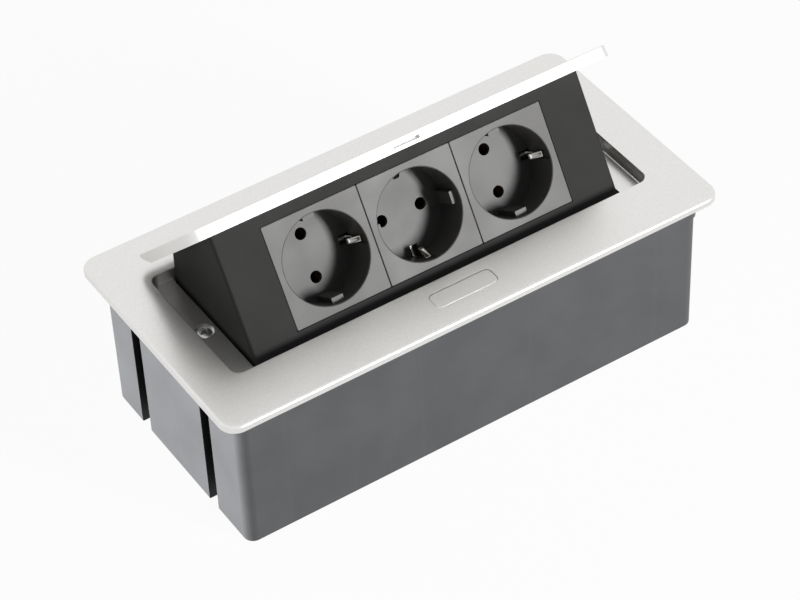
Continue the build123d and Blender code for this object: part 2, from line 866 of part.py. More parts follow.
def earth_bracket(place):
    """Both earth clips of one socket, the bar between them and its tail."""
    with BuildPart() as bracket:
        with BuildSketch(across(place)):
            with BuildLine():
                Polyline(
                    (-clip_top_radius, clip_top),
                    (-clip_touch_radius, clip_touch),
                    (-clip_foot_radius, clip_foot),
                    (-clip_foot_radius, earth_bar),
                    (clip_foot_radius, earth_bar),
                    (clip_foot_radius, clip_foot),
                    (clip_touch_radius, clip_touch),
                    (clip_top_radius, clip_top),
                )
            trace(line_width=clip_thickness)
        extrude(amount=clip_width / 2, both=True)
        with BuildSketch(place.offset(-earth_bar)):
            Rectangle(clip_thickness, clip_width)
        extrude(amount=earth_bar - rail_front)
    return bracket


def pin_contact(place, offset_y):
    """Fork of spring strip that grips one pin."""
    with BuildPart() as contact:
        with BuildSketch(across(place, offset_y)):
            with BuildLine():
                Polyline(
                    (-contact_mouth, well_back + contact_start),
                    (-contact_grip, well_back + contact_start + contact_mouth_depth),
                    (-contact_bridge, contact_back - contact_strip / 2),
                    (contact_bridge, contact_back - contact_strip / 2),
                    (contact_grip, well_back + contact_start + contact_mouth_depth),
                    (contact_mouth, well_back + contact_start),
                )
            trace(line_width=contact_strip)
        extrude(amount=contact_width / 2, both=True)
    return contact


# Three sockets: the outer ones have their pins upright, the middle one level
sockets = (("left", -module_pitch, 0), ("middle", 0, 90), ("right", module_pitch, 0))
for name, x, turn in sockets:
    place = before(x, 0, 0, turn)
    keep(socket_insert(place, before(x, 0, 0)), f"socket_insert_{name}")
    keep(socket_base(place), f"socket_base_{name}")
    keep(earth_bracket(place), f"earth_bracket_{name}")
    keep(pin_contact(place, pin_pitch / 2), f"live_contact_{name}")
    keep(pin_contact(place, -pin_pitch / 2), f"neutral_contact_{name}")

socket_screws = screws(
    [
        behind(x + spot, spot * (1 - 2 * (turn > 0)), well_back + base_plate_depth)
        for _, x, turn in sockets
        for spot in (-base_screw_place, base_screw_place)
    ],
    base_screw_head,
    base_screw_head_height,
    base_screw_diameter,
    base_screw_length,
)
keep(socket_screws, "socket_screws")


def spot(x, rise, depth):
    """A point behind the socket face."""
    return (face.location * Location((x, rise, -depth))).position


def links(runs):
    """Wires across the carriers, both ends bent forward onto a contact."""
    with BuildPart() as made:
        for (start_x, start_rise), (end_x, end_rise) in runs:
            with BuildLine() as route:
                FilletPolyline(
                    spot(start_x, start_rise, wire_end),
                    spot(start_x, start_rise, wire_depth),
                    spot(end_x, end_rise, wire_depth),
                    spot(end_x, end_rise, wire_end),
                    radius=wire_bend,
                )
            with BuildSketch(Plane(origin=route.line @ 0, z_dir=route.line % 0)):
                Circle(wire_diameter / 2)
            sweep()
    return made


# Live and neutral wires from socket to socket, and the earth rail
outer_x = module_pitch - wire_pitch / 2
side_pin = pin_pitch / 2
side_wire = wire_pitch / 2
live_links = links(
    [
        ((-outer_x, side_pin), (-side_pin, -side_wire)),
        ((-side_pin, side_wire), (outer_x, side_pin)),
    ]
)
keep(live_links, "live_links")
neutral_links = links(
    [
        ((-outer_x, -side_pin), (side_pin, -side_wire)),
        ((side_pin, side_wire), (outer_x, -side_pin)),
    ]
)
keep(neutral_links, "neutral_links")

with BuildPart() as earth_rail:
    with BuildSketch(before(0, 0, rail_front)):
        Rectangle(2 * (module_pitch + earth_rail_overhang), earth_rail_width)
    extrude(amount=-earth_rail_thickness)
keep(earth_rail, "earth_rail")

# Push button: cap in the frame's pocket, flange under the rim, wedge below
button_under = rim_under - button_seat_gap - button_flange
wedge_tip_front = button_y - wedge_front + wedge_height
wedge_rear = wedge_tip_front + wedge_land
with BuildPart() as button:
    with BuildSketch(Plane.XY.offset(frame_top)):
        with Locations((0, button_y)):
            RectangleRounded(
                button_length - 2 * button_gap,
                button_width - 2 * button_gap,
                button_corner - button_gap,
            )
    extrude(amount=rim_under - button_seat_gap - frame_top)
    fillet(button.faces().sort_by(Axis.Z)[-1].edges(), button_edge_round)
    with BuildSketch(Plane.XY.offset(button_under)):
        with Locations((0, button_y)):
            RectangleRounded(
                button_length + 2 * button_flange_lip,
                button_width + 2 * button_flange_lip,
                button_corner + button_flange_lip,
            )
    extrude(amount=button_flange)
    with BuildSketch(Plane.XY.offset(button_under)):
        with Locations((0, button_rear + (button_flange_lip - button_gap) / 2)):
            Rectangle(bolt_notch, button_flange_lip + button_gap)
    extrude(amount=button_flange, mode=Mode.SUBTRACT)
    with BuildSketch(Plane.YZ):
        with BuildLine():
            Polyline(
                (button_y - wedge_front, button_under),
                (wedge_tip_front, button_under - wedge_height),
                (wedge_rear, button_under - wedge_height),
                (wedge_rear, button_under),
                close=True,
            )
        make_face()
    extrude(amount=wedge_width / 2, both=True)
keep(button, "button")

# Latch bolt: window for the wedge, web, nose for the lid and ears for the springs
plate_top = button_under - button_travel - bolt_plate_gap
plate_under = plate_top - bolt_plate_wall
web_rear = -half_recess - bolt_web_gap
web_front = web_rear - bolt_web_wall
web_under = frame_top - bolt_web_drop
nose_tip = bolt_engage - half_lid
ear_rear = -half_recess - skirt_wall - bolt_ear_gap
ear_front = ear_rear - bolt_ear_wall
window_rear = wedge_rear + button_travel + bolt_window_gap


def window_front(z):
    """Front edge of the bolt's window, along the wedge's sloping face."""
    return button_y - wedge_front + button_under - z - wedge_play


with BuildPart() as latch_bolt:
    with BuildSketch(Plane.YZ):
        with BuildLine():
            Polyline(
                (web_front - bolt_plate_reach, plate_top),
                (web_front - bolt_plate_reach, plate_under),
                (web_front, plate_under),
                (web_front, web_under),
                (web_rear, web_under),
                (web_rear, nose_top),
                (web_front, nose_top),
                (web_front, plate_top),
                close=True,
            )
        make_face()
    extrude(amount=bolt_plate_width / 2, both=True)
    with BuildSketch(Plane.YZ):
        with BuildLine():
            Polyline(
                (web_rear, nose_under),
                (nose_tip, nose_under),
                (nose_tip, nose_top - bolt_nose_ramp),
                (nose_tip - bolt_nose_ramp, nose_top),
                (web_rear, nose_top),
                close=True,
            )
        make_face()
    extrude(amount=bolt_nose_width / 2, both=True)
    with BuildSketch(Plane.XY.offset(web_under)):
        with Locations((0, ear_rear - bolt_ear_wall / 2)):
            Rectangle(bolt_ear_span, bolt_ear_wall)
    extrude(amount=plate_top - web_under)
    with BuildSketch(Plane.YZ):
        with BuildLine():
            Polyline(
                (window_front(plate_top + overrun), plate_top + overrun),
                (window_front(plate_under - overrun), plate_under - overrun),
                (window_rear, plate_under - overrun),
                (window_rear, plate_top + overrun),
                close=True,
            )
        make_face()
    extrude(amount=bolt_window / 2, both=True, mode=Mode.SUBTRACT)
keep(latch_bolt, "latch_bolt")

# Latch guide: a channel under the bolt, hung from the frame's bosses
guide_front = guide_front_gap - inner_wall_y
guide_rear = -half_recess - skirt_wall - guide_rear_gap
guide_floor = frame_top - guide_floor_drop
spring_seat = guide_front + guide_wall
rail_rear = ear_front - button_travel - guide_rear_gap
with BuildPart() as latch_guide:
    with BuildSketch(Plane.XY.offset(guide_floor - guide_wall)):
        with Locations((0, (guide_front + guide_rear) / 2)):
            Rectangle(guide_inner + 2 * guide_wall, guide_rear - guide_front)
    extrude(amount=rim_under - guide_top_gap - guide_floor + guide_wall)
    with BuildSketch(Plane.XY.offset(guide_floor)):
        with Locations((0, (spring_seat + guide_rear) / 2)):
            Rectangle(guide_inner, guide_rear - spring_seat)
    extrude(amount=rim_under - guide_floor, mode=Mode.SUBTRACT)
    with BuildSketch(Plane.XY.offset(rim_under)):
        with Locations((0, guide_front + guide_wall / 2)):
            Rectangle(guide_inner, guide_wall)
    extrude(amount=button_under - button_travel - guide_top_gap - rim_under, mode=Mode.SUBTRACT)
    with BuildSketch(Plane.XY.offset(guide_floor)):
        with Locations((0, (spring_seat + rail_rear) / 2)):
            with GridLocations(guide_rail_spread + guide_rail_width, 0, 2, 1):
                Rectangle(guide_rail_width, rail_rear - spring_seat)
    extrude(amount=plate_under - guide_rail_gap - guide_floor)
    with BuildSketch(Plane.XY.offset(boss_under)):
        with Locations((0, button_y)):
            with GridLocations(2 * guide_boss_x - guide_wall, 0, 2, 1):
                Rectangle(guide_ear + guide_wall, guide_ear)
            with GridLocations(2 * guide_boss_x, 0, 2, 1):
                Circle(latch_screw_diameter / 2 + screw_play, mode=Mode.SUBTRACT)
    extrude(amount=-guide_wall)
keep(latch_guide, "latch_guide")

latch_screws = screws(
    [
        Plane(origin=(x, button_y, boss_under - guide_wall), z_dir=(0, 0, -1))
        for x in (-guide_boss_x, guide_boss_x)
    ],
    latch_screw_head,
    latch_screw_head_height,
    latch_screw_diameter,
    latch_screw_length,
)
keep(latch_screws, "latch_screws")

with BuildPart() as latch_springs:
    with BuildSketch(Plane.XZ.offset(-spring_seat)):
        with Locations((0, frame_top - latch_spring_drop)):
            with GridLocations(2 * latch_spring_x, 0, 2, 1):
                Circle(latch_spring_outer / 2)
                Circle(latch_spring_outer / 2 - latch_spring_wire, mode=Mode.SUBTRACT)
    extrude(amount=spring_seat - ear_front)
keep(latch_springs, "latch_springs")

# Rubber bush for the cable, snapped into the rear wall
bush_seat = housing_width / 2 + tan(radians(housing_draft)) * (bush_rise + bush_flange / 2)
with BuildPart() as cable_bush:
    with BuildSketch(Plane.XY.offset(bush_rise)):
        with BuildLine():
            Polyline(
                (cable_x + bush_bore / 2, inner_wall_y - bush_lock_depth),
                (cable_x + bush_body / 2, inner_wall_y - bush_lock_depth),
                (cable_x + bush_lock / 2, inner_wall_y),
                (cable_x + bush_body / 2, inner_wall_y),
                (cable_x + bush_body / 2, bush_seat),
                (cable_x + bush_flange / 2, bush_seat),
                (cable_x + bush_flange / 2, bush_seat + bush_flange_depth),
                (cable_x + bush_bore / 2, bush_seat + bush_flange_depth),
                close=True,
            )
        make_face()
    revolve(axis=Axis((cable_x, 0, bush_rise), (0, 1, 0)))
    rim_edges = cable_bush.edges().filter_by(GeomType.CIRCLE).group_by(SortBy.RADIUS)[-1]
    fillet(rim_edges.sort_by(Axis.Y)[-1:], bush_flange_round)
keep(cable_bush, "cable_bush")
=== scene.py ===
from math import atan2, cos, pi, radians, sin, sqrt

import bmesh
import bpy
from mathutils import Matrix, Vector

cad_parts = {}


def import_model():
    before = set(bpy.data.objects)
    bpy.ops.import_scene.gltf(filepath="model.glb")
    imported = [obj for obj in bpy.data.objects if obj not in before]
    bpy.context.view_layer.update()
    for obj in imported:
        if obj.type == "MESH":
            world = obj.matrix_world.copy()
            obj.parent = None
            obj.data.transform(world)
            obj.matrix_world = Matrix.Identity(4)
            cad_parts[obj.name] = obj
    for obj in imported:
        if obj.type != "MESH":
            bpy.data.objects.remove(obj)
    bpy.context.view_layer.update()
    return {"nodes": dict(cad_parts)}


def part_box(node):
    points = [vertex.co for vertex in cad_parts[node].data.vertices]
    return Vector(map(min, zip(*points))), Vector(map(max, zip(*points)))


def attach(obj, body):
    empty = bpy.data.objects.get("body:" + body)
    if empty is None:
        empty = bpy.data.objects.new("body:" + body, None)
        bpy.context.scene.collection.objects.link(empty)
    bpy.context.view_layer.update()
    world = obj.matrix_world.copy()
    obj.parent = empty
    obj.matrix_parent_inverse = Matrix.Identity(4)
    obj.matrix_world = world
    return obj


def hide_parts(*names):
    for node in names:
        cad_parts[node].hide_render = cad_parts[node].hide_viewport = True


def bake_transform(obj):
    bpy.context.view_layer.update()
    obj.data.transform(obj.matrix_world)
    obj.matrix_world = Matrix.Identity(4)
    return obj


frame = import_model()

# Pop up desk socket, opened: materials, springs, screws and earth clips.
# Metres, in the CAD model's frame: +X along the lid, +Z up, hinge to the rear.

bpy.ops.object.select_all(action="DESELECT")
node = frame["nodes"]
MM = 0.001


def mm(*values):
    """A point or vector given in millimetres."""
    return Vector(values) * MM


# Materials


def linear(hex_colour):
    """An sRGB hex colour as linear red, green, blue and alpha."""
    parts = [int(hex_colour[i : i + 2], 16) / 255 for i in (1, 3, 5)]
    return [p / 12.92 if p <= 0.04045 else ((p + 0.055) / 1.055) ** 2.4 for p in parts] + [1]


def add(tree, kind, inputs=None, **settings):
    """A node with its settings. An input is a value, or a node or output to link."""
    made = tree.nodes.new(kind)
    for name, value in settings.items():
        setattr(made, name, value)
    for name, value in (inputs or {}).items():
        if isinstance(value, bpy.types.Node):
            value = value.outputs[0]
        if isinstance(value, bpy.types.NodeSocket):
            tree.links.new(value, made.inputs[name])
        else:
            made.inputs[name].default_value = value
    return made


def start(name):
    """A new material with its shader, and the place on the piece to draw from."""
    material = bpy.data.materials.new(name)
    material.use_nodes = True
    tree = material.node_tree
    tree.nodes.clear()
    shader = add(tree, "ShaderNodeBsdfPrincipled")
    add(tree, "ShaderNodeOutputMaterial", {"Surface": shader})
    place = add(tree, "ShaderNodeTexCoord").outputs["Object"]
    return material, tree, shader, place


def per(size_mm):
    """The scale of a pattern whose patches are so many millimetres across."""
    return 1 / (size_mm * MM)


# A noise keeps mostly to the middle of its range, which is stretched to the ends
MIDDLE = {"From Min": 0.3, "From Max": 0.7}
FINE = {"Detail": 3, "Roughness": 0.6}


def surface(tree, shader, colours, tones, rough, relief):
    """Draws a finish from its patterns.

    tones holds each pattern with its share in the tone between the two
    colours, rough a pattern with the lowest and highest roughness, and relief
    a pattern with its strength and its depth in millimetres."""
    tone = 0.0
    for pattern, share in tones:
        span = {"Value": pattern, **MIDDLE, "To Min": 0, "To Max": share}
        part = add(tree, "ShaderNodeMapRange", span, interpolation_type="SMOOTHSTEP")
        tone = add(tree, "ShaderNodeMath", {0: tone, 1: part}, operation="ADD")
    shade, light = (linear(colour) for colour in colours)
    mixed = add(tree, "ShaderNodeMix", {0: tone, 6: shade, 7: light}, data_type="RGBA")
    cloud, low, high = rough
    span = {"Value": cloud, **MIDDLE, "To Min": low, "To Max": high}
    gloss = add(tree, "ShaderNodeMapRange", span, interpolation_type="SMOOTHSTEP")
    height, strength, depth_mm = relief
    settings = {"Height": height, "Strength": strength, "Distance": depth_mm * MM}
    bump = add(tree, "ShaderNodeBump", settings)
    tree.links.new(mixed.outputs[2], shader.inputs["Base Color"])
    tree.links.new(gloss.outputs[0], shader.inputs["Roughness"])
    tree.links.new(bump.outputs[0], shader.inputs["Normal"])


def satin_silver(name, shade, light, grain_mm=0.7, rough=(0.28, 0.31)):
    """Die cast metal, blasted and coated in satin silver lacquer.

    A pale even grey with a soft, wide highlight and a grain of fine flakes.
    The real flakes are about 0.05 mm, drawn coarser so that they show."""
    cloud_mm = 38
    flake_mm = 0.45
    material, tree, shader, place = start(name)
    pattern = {"Vector": place, "Scale": per(cloud_mm), "Detail": 2}
    cloud = add(tree, "ShaderNodeTexNoise", pattern)
    grain = add(tree, "ShaderNodeTexNoise", {"Vector": place, "Scale": per(grain_mm), **FINE})
    flakes = add(tree, "ShaderNodeTexVoronoi", {"Vector": place, "Scale": per(flake_mm)})
    flake = add(tree, "ShaderNodeSeparateColor", {"Color": flakes.outputs["Color"]})
    tones = [(grain, 0.5), (flake, 0.5)]
    surface(tree, shader, (shade, light), tones, (cloud, *rough), (grain, 0.12, 0.02))
    shader.inputs["Metallic"].default_value = 1
    return material


def moulded(
    name, shade, light, roughness, grain_mm=0.6, relief_mm=0.02, strength=0.3, sheen=0.25
):
    """Thermoplastic moulded in a spark eroded steel tool.

    A fine matt grain, slightly cloudy in tone, with a low, wide sheen."""
    cloud_mm = 26
    material, tree, shader, place = start(name)
    pattern = {"Vector": place, "Scale": per(cloud_mm), "Detail": 3}
    cloud = add(tree, "ShaderNodeTexNoise", pattern)
    grain = add(tree, "ShaderNodeTexNoise", {"Vector": place, "Scale": per(grain_mm), **FINE})
    tones = [(cloud, 0.7), (grain, 0.3)]
    rough = (cloud, roughness - 0.03, roughness + 0.03)
    surface(tree, shader, (shade, light), tones, rough, (grain, strength, relief_mm))
    shader.inputs["IOR"].default_value = 1.5
    shader.inputs["Specular IOR Level"].default_value = sheen
    return material


def off_by(tree, value, at):
    """How far a value in metres is from a place in millimetres."""
    off = add(tree, "ShaderNodeMath", {0: value, 1: at * MM}, operation="SUBTRACT")
    return add(tree, "ShaderNodeMath", {0: off}, operation="ABSOLUTE")


def stripe(tree, value, at, width):
    """1 on a line where the value is at, fading to 0 over the width."""
    far = off_by(tree, value, at)
    fade = {"Value": far, "From Min": 0, "From Max": width * MM, "To Min": 1, "To Max": 0}
    return add(tree, "ShaderNodeMapRange", fade, interpolation_type="SMOOTHSTEP")


def within(tree, value, at, reach):
    """1 where the value is no further than the reach from at, else 0."""
    near = {0: off_by(tree, value, at), 1: reach * MM}
    return add(tree, "ShaderNodeMath", near, operation="LESS_THAN")


# Sink lines on the tub, sunk in the relief and painted lighter as a painted highlight:
# the place and width of each, in millimetres
PARTITION_SINK = (26.7, 1.6)
RIB_SINK = (91.4, 2.0)
WITNESS_LINE = (1.2, 0.8)
SINK_HIGHLIGHT_SHARE = 0.22
SINK_DEPTH = 0.08 * MM

# The space inside the clamp slots, coloured with painted shade, as a middle and a reach
# in millimetres: across each end of the tub, where two slots flank the middle, in and up
SLOT_MIDDLE = 1.6
SLOT_ACROSS = (27.4, 3.7)
SLOT_INWARD = (107.1, 5.0)
SLOT_HEIGHT = (30.5, 31.4)
SLOT_PAINTED_SHADE = "#0b0b0c"


def tub_plastic(name, shade, light):
    """Glass filled polyamide, moulded in a fine grained tool.

    Mid grey and matt, with sink lines where a wall or rib stands behind the
    outer wall, and a witness line down the middle of each end. These lines are
    sunk a little and painted a little lighter, a painted highlight. The clamp
    slots are painted nearly black inside, a painted shade where no light gets in."""
    material = moulded(
        name, shade, light, roughness=0.52, grain_mm=0.7, relief_mm=0.03, strength=0.35
    )
    tree = material.node_tree
    shader = next(n for n in tree.nodes if n.type == "BSDF_PRINCIPLED")
    place = next(n for n in tree.nodes if n.type == "TEX_COORD").outputs["Object"]
    parts = add(tree, "ShaderNodeSeparateXYZ", {"Vector": place}).outputs
    side = add(tree, "ShaderNodeMath", {0: parts["X"]}, operation="ABSOLUTE")

    lines = stripe(tree, side, *PARTITION_SINK)
    for value, line in ((side, RIB_SINK), (parts["Y"], WITNESS_LINE)):
        both = {0: lines, 1: stripe(tree, value, *line)}
        lines = add(tree, "ShaderNodeMath", both, operation="MAXIMUM")
    # painted highlight: the lines are mixed a little toward the lighter colour
    painted_highlight = add(tree, "ShaderNodeMath", {0: lines, 1: SINK_HIGHLIGHT_SHARE}, operation="MULTIPLY")
    plain = shader.inputs["Base Color"].links[0].from_socket
    layers = {0: painted_highlight, 6: plain, 7: linear(light)}
    lined = add(tree, "ShaderNodeMix", layers, data_type="RGBA").outputs[2]

    # painted shade: the inside of each clamp slot is coloured nearly black by its place
    inside = within(tree, off_by(tree, parts["Y"], SLOT_MIDDLE), *SLOT_ACROSS)
    for value, span in ((side, SLOT_INWARD), (parts["Z"], SLOT_HEIGHT)):
        both = {0: inside, 1: within(tree, value, *span)}
        inside = add(tree, "ShaderNodeMath", both, operation="MULTIPLY")
    layers = {0: inside, 6: lined, 7: linear(SLOT_PAINTED_SHADE)}
    colour = add(tree, "ShaderNodeMix", layers, data_type="RGBA").outputs[2]
    tree.links.new(colour, shader.inputs["Base Color"])

    grained = shader.inputs["Normal"].links[0].from_socket
    settings = {"Height": lines, "Strength": 0.5, "Distance": SINK_DEPTH, "Normal": grained}
    sunk = add(tree, "ShaderNodeBump", settings, invert=True)
    tree.links.new(sunk.outputs[0], shader.inputs["Normal"])
    return material


def drawn(name, shade, light, rough, stretch=(1, 1, 1), line_mm=0.5):
    """Metal that was drawn, rolled or turned, with fine lines where it stretched.

    They show as a slight change of gloss and tone from place to place."""
    cloud_mm = 4
    material, tree, shader, place = start(name)
    along = add(tree, "ShaderNodeMapping", {"Vector": place, "Scale": stretch})
    pattern = {"Vector": along, "Scale": per(line_mm), "Detail": 4, "Roughness": 0.6}
    lines = add(tree, "ShaderNodeTexNoise", pattern)
    pattern = {"Vector": place, "Scale": per(cloud_mm), "Detail": 2}
    cloud = add(tree, "ShaderNodeTexNoise", pattern)
    surface(tree, shader, (shade, light), [(lines, 1)], (cloud, *rough), (lines, 0.2, 0.01))
    shader.inputs["Metallic"].default_value = 1
    return material


# Lines of a drawn metal that run along a piece's X, or across it
ALONG_X = (0.2, 1, 1)
ACROSS_X = (1, 0.2, 0.2)

# The palest piece, with one soft highlight over its rims and top
frame_silver = satin_silver("satin_silver_lacquer_on_die_casting", "#dfdedc", "#e7e6e4")
# A little duller, so that the flat plate stays even
lid_silver = satin_silver(
    "satin_silver_lacquer_on_lid_plate", "#dfdedc", "#e7e6e4", rough=(0.37, 0.4)
)
# A touch darker than the frame round it
button_silver = satin_silver(
    "satin_silver_lacquer_on_button", "#dddcda", "#e5e4e2", grain_mm=0.6
)
tub_grey = tub_plastic("glass_filled_polyamide_grey", "#535456", "#5d5e60")
# Nearly black and dull, a dark surround for the sockets
charcoal = moulded("abs_charcoal_fine_grain", "#1e1e1d", "#242423", roughness=0.66)
# Smooth enough for the lamp's light to fade softly across the slope
socket_grey = moulded(
    "polycarbonate_grey_satin",
    "#585756",
    "#605f5e",
    roughness=0.33,
    grain_mm=0.5,
    relief_mm=0.01,
    strength=0.2,
    sheen=0.15,
)
# Hard black carriers with a coarser grain, in the shade of the wells
carrier_black = moulded(
    "phenolic_moulding_black",
    "#1c1c1d",
    "#2a2a2b",
    roughness=0.45,
    grain_mm=0.9,
    relief_mm=0.05,
    strength=0.4,
)
# Soft sheaths with a slight gloss
sheath = {"roughness": 0.38, "grain_mm": 1.2, "relief_mm": 0.02, "strength": 0.2}
wire_brown = moulded("pvc_sheath_brown", "#5a3423", "#6b4130", **sheath)
wire_blue = moulded("pvc_sheath_blue", "#2c4f9b", "#3a60b0", **sheath)
# Dull black rubber with a rough skin
bush_rubber = moulded(
    "moulded_rubber_black",
    "#1a1a1a",
    "#262625",
    roughness=0.62,
    grain_mm=0.8,
    relief_mm=0.04,
    strength=0.5,
)
# Bright but slightly hazy
screw_steel = drawn("zinc_plated_steel", "#a9a9a8", "#c9c9c6", (0.28, 0.38))
# Darker steel that glints along each turn
spring_wire = drawn("bright_drawn_spring_wire", "#8c8d90", "#b0b1b3", (0.28, 0.4))
# A warm white metal, and the same polished where plugs rub it
nickel = drawn(
    "nickel_plated_strip", "#92908b", "#b0aea8", (0.18, 0.26), ACROSS_X, line_mm=0.3
)
rubbed_nickel = drawn(
    "nickel_rubbed_bright_by_plugs", "#d8d6d0", "#ebe9e4", (0.12, 0.2), ACROSS_X, line_mm=0.3
)
# Brass painted a dark, dull yellow brown: painted shade that keeps the pin holes dark
shaded_brass = drawn(
    "rolled_contact_brass_with_painted_shade", "#5c4a2a", "#6f5a36", (0.42, 0.55), ALONG_X, line_mm=0.3
)

# Modelling


def only(*pieces):
    """Selects these pieces alone, with the first one active."""
    bpy.ops.object.select_all(action="DESELECT")
    for piece in pieces:
        piece.select_set(True)
    bpy.context.view_layer.objects.active = pieces[0]


def edit(piece):
    """Opens one piece in edit mode with nothing selected in it."""
    only(piece)
    bpy.ops.object.mode_set(mode="EDIT")
    bpy.ops.mesh.select_all(action="DESELECT")


def pick(mode, wanted):
    """Selects the faces, edges or vertices for which wanted is true."""
    bpy.ops.mesh.select_all(action="DESELECT")
    bpy.ops.mesh.select_mode(type=mode)
    mesh = bmesh.from_edit_mesh(bpy.context.object.data)
    for item in {"FACE": mesh.faces, "EDGE": mesh.edges, "VERT": mesh.verts}[mode]:
        item.select_set(bool(wanted(item)))
    mesh.select_flush_mode()
    bmesh.update_edit_mesh(bpy.context.object.data)


def middle(edge):
    """The middle of an edge."""
    return (edge.verts[0].co + edge.verts[1].co) / 2


def done():
    """Back to object mode, with the piece just edited."""
    bpy.ops.object.mode_set(mode="OBJECT")
    return bpy.context.object


def settle(piece, place=None):
    """Puts the piece's place, and any turn, into its mesh."""
    only(piece)
    if place is not None:
        piece.matrix_world = place
    bpy.ops.object.transform_apply(location=True, rotation=True, scale=True)
    return piece


def apply(piece, kind, **settings):
    """Adds a modifier with its settings and applies it."""
    modifier = piece.modifiers.new(kind.title(), kind)
    for name, value in settings.items():
        setattr(modifier, name, value)
    only(piece)
    bpy.ops.object.modifier_apply(modifier=modifier.name)
    return piece


def outward(piece):
    """Merges doubles and turns the faces outward."""
    edit(piece)
    bpy.ops.mesh.select_all(action="SELECT")
    bpy.ops.mesh.remove_doubles(threshold=0.001 * MM)
    bpy.ops.mesh.normals_make_consistent(inside=False)
    return done()


def copy(piece, place):
    """A copy of a piece with its own mesh, at a place."""
    made = piece.copy()
    made.data = piece.data.copy()
    bpy.context.collection.objects.link(made)
    return settle(made, place)


def joined(pieces, name):
    """Several meshes made one piece with a name."""
    only(*pieces)
    bpy.ops.object.join()
    pieces[0].name = name
    pieces[0].data.name = name
    return pieces[0]


def finish(piece, material, angle=35):
    """Smooths a finished piece, and gives it its material and slot."""
    only(piece)
    bpy.ops.object.shade_smooth_by_angle(angle=radians(angle))
    piece.data.materials.clear()
    piece.data.materials.append(material)
    return piece


def round_over(width, steps):
    """Rounds the selected edges."""
    bpy.ops.mesh.bevel(
        offset=width, offset_pct=0, segments=steps, profile=0.5, affect="EDGES"
    )


# Wire coils: a ring swept round by the screw modifier, ends drawn on from it.
# A ring's corners lie within a little more than half the wire from its centre.
WIRE_SIDES = 12
RING_REACH = 0.52
BEND_STEPS = 6


def coil(wire, radius, turns, length, axis, steps=18):
    """A coil of wire about an axis through the origin, starting on its top."""
    turned = (radians(90), 0, 0) if axis == "X" else (0, radians(90), 0)
    bpy.ops.mesh.primitive_circle_add(
        vertices=WIRE_SIDES,
        radius=wire / 2,
        fill_type="NOTHING",
        location=(0, 0, radius),
        rotation=turned,
    )
    piece = settle(bpy.context.object)
    count = round(turns * steps)
    return apply(
        piece,
        "SCREW",
        axis=axis,
        angle=turns * 2 * pi,
        screw_offset=length,
        steps=count,
        render_steps=count,
        use_smooth_shade=True,
        use_merge_vertices=False,
    )


def pick_ring(centre, wire):
    """Selects the open ring of wire about a centre."""
    pick("VERT", lambda v: (v.co - centre).length < wire * RING_REACH)


def draw_on(moves):
    """Draws the selected ring on: straight runs and bends, then closes it."""
    for move in moves:
        if len(move) == 1:
            bpy.ops.mesh.extrude_region_move(TRANSFORM_OT_translate={"value": move[0]})
        else:
            centre, axis, angle = move
            bpy.ops.mesh.spin(steps=BEND_STEPS, angle=angle, center=centre, axis=axis)
    bpy.ops.mesh.edge_face_add()


# Torsion springs on the hinge pins, as big as the sleeves that stand for them
HINGE = mm(0, 45.6, 64.9)
TORSION_WIRE = 1.1 * MM
COIL_RADIUS = 3.05 * MM
COIL_START = 76.9 * MM
COIL_LENGTH = 5.0 * MM
WHOLE_TURNS = 4
REAR_LEG = 5.9 * MM
LEG_END = mm(0, -10.6, -8.17)
LEG_CROSS = 5.5 * MM
LEG_BEND = 1.1 * MM

# The front leg leaves the coil on the tangent that meets its end point
leg_turn = atan2(LEG_END.z, LEG_END.y) + 2 * pi
tangent = sqrt(LEG_END.length_squared - COIL_RADIUS**2)
away = leg_turn - (pi / 2 - atan2(COIL_RADIUS, tangent))
leg_way = Vector((0, -sin(away), cos(away)))
leg_start = Vector((COIL_LENGTH, COIL_RADIUS * cos(away), COIL_RADIUS * sin(away)))
turns = WHOLE_TURNS + (away - pi / 2) / (2 * pi)

spring = coil(TORSION_WIRE, COIL_RADIUS, turns, COIL_LENGTH, "X")
edit(spring)
pick_ring(Vector((0, 0, COIL_RADIUS)), TORSION_WIRE)
draw_on([(Vector((0, REAR_LEG, 0)),)])
pick_ring(leg_start, TORSION_WIRE)
straight = (LEG_END - Vector((0, leg_start.y, leg_start.z))).length - LEG_BEND
corner = leg_start + leg_way * straight + Vector((LEG_BEND, 0, 0))
bend_axis = leg_way.cross(Vector((1, 0, 0)))
draw_on(
    [
        (leg_way * straight,),
        (corner, bend_axis, pi / 2),
        (Vector((LEG_CROSS - LEG_BEND, 0, 0)),),
    ]
)
done()
outward(spring)
for side, name in ((1, "right"), (-1, "left")):
    reach = Vector((side * COIL_START, 0, 0))
    place = Matrix.Translation(HINGE + reach)
    if side < 0:
        place = place @ Matrix.Scale(-1, 4, Vector((1, 0, 0)))
    wound = outward(copy(spring, place))
    wound.name = wound.data.name = f"wound_torsion_spring_{name}"
    finish(wound, spring_wire, 60)
    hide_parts(f"torsion_spring_{name}")
    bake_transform(wound)
bpy.data.objects.remove(spring)

